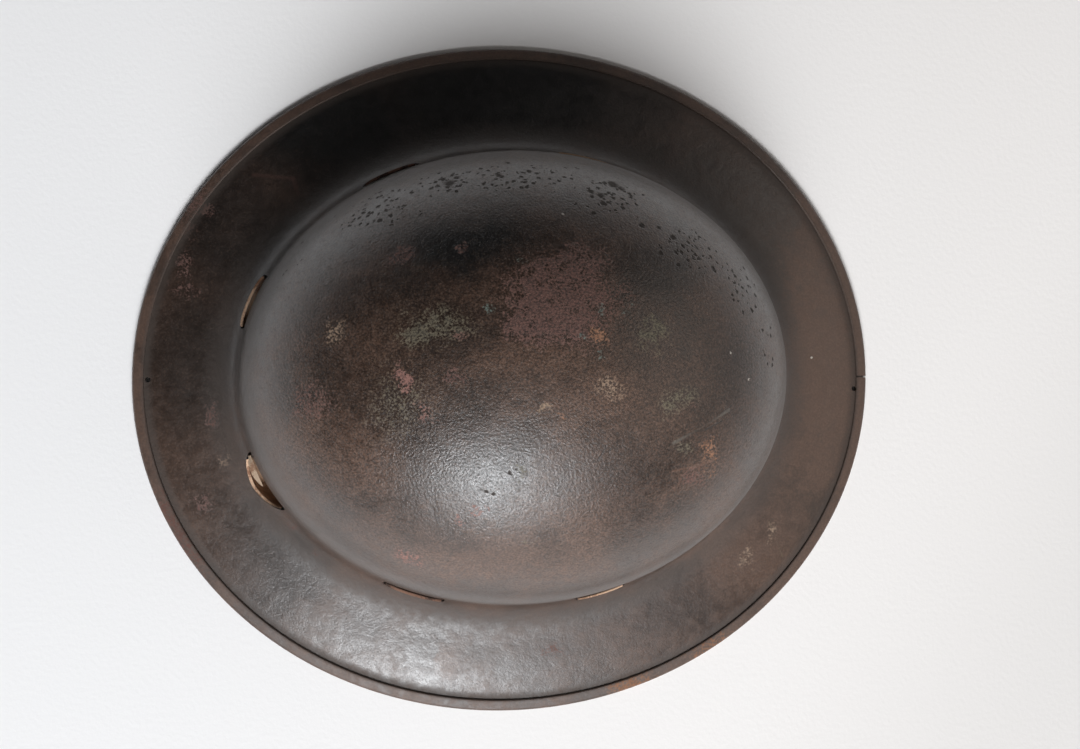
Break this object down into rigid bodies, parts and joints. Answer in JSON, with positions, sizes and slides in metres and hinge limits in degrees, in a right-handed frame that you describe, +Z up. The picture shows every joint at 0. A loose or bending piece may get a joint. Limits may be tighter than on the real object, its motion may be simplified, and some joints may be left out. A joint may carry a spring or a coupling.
{
  "type": "brimmed steel helmet",
  "caption": "Military helmet of the shallow-bowl kind: domed oval crown, wide sloping brim with a folded rim band, and leather liner tongues in slots round the crown's foot.",
  "frame": {"origin": "on the surface that the helmet stands on, below the middle of the brim", "axes": "+X to the back of the helmet and along its length, +Y across it, +Z up through the crown"},
  "size_m": [0.3116, 0.2786, 0.1075],
  "materials": {
    "aged_steel": "aged brown-black steel, rust patches, pits and fine grain",
    "band_steel": "aged brown steel with rust along the edge",
    "tan_leather": "dry tan leather, matt"
  },
  "bodies": {
    "root": {"shell": "aged_steel", "rim_band": "band_steel", "sweatband": "tan_leather", "liner_tongue_1": "tan_leather", "liner_tongue_2": "tan_leather", "liner_tongue_3": "tan_leather", "liner_tongue_4": "tan_leather", "liner_tongue_5": "tan_leather", "liner_tongue_6": "tan_leather", "liner_tongue_7": "tan_leather", "liner_tongue_8": "tan_leather"}
  },
  "joints": []
}
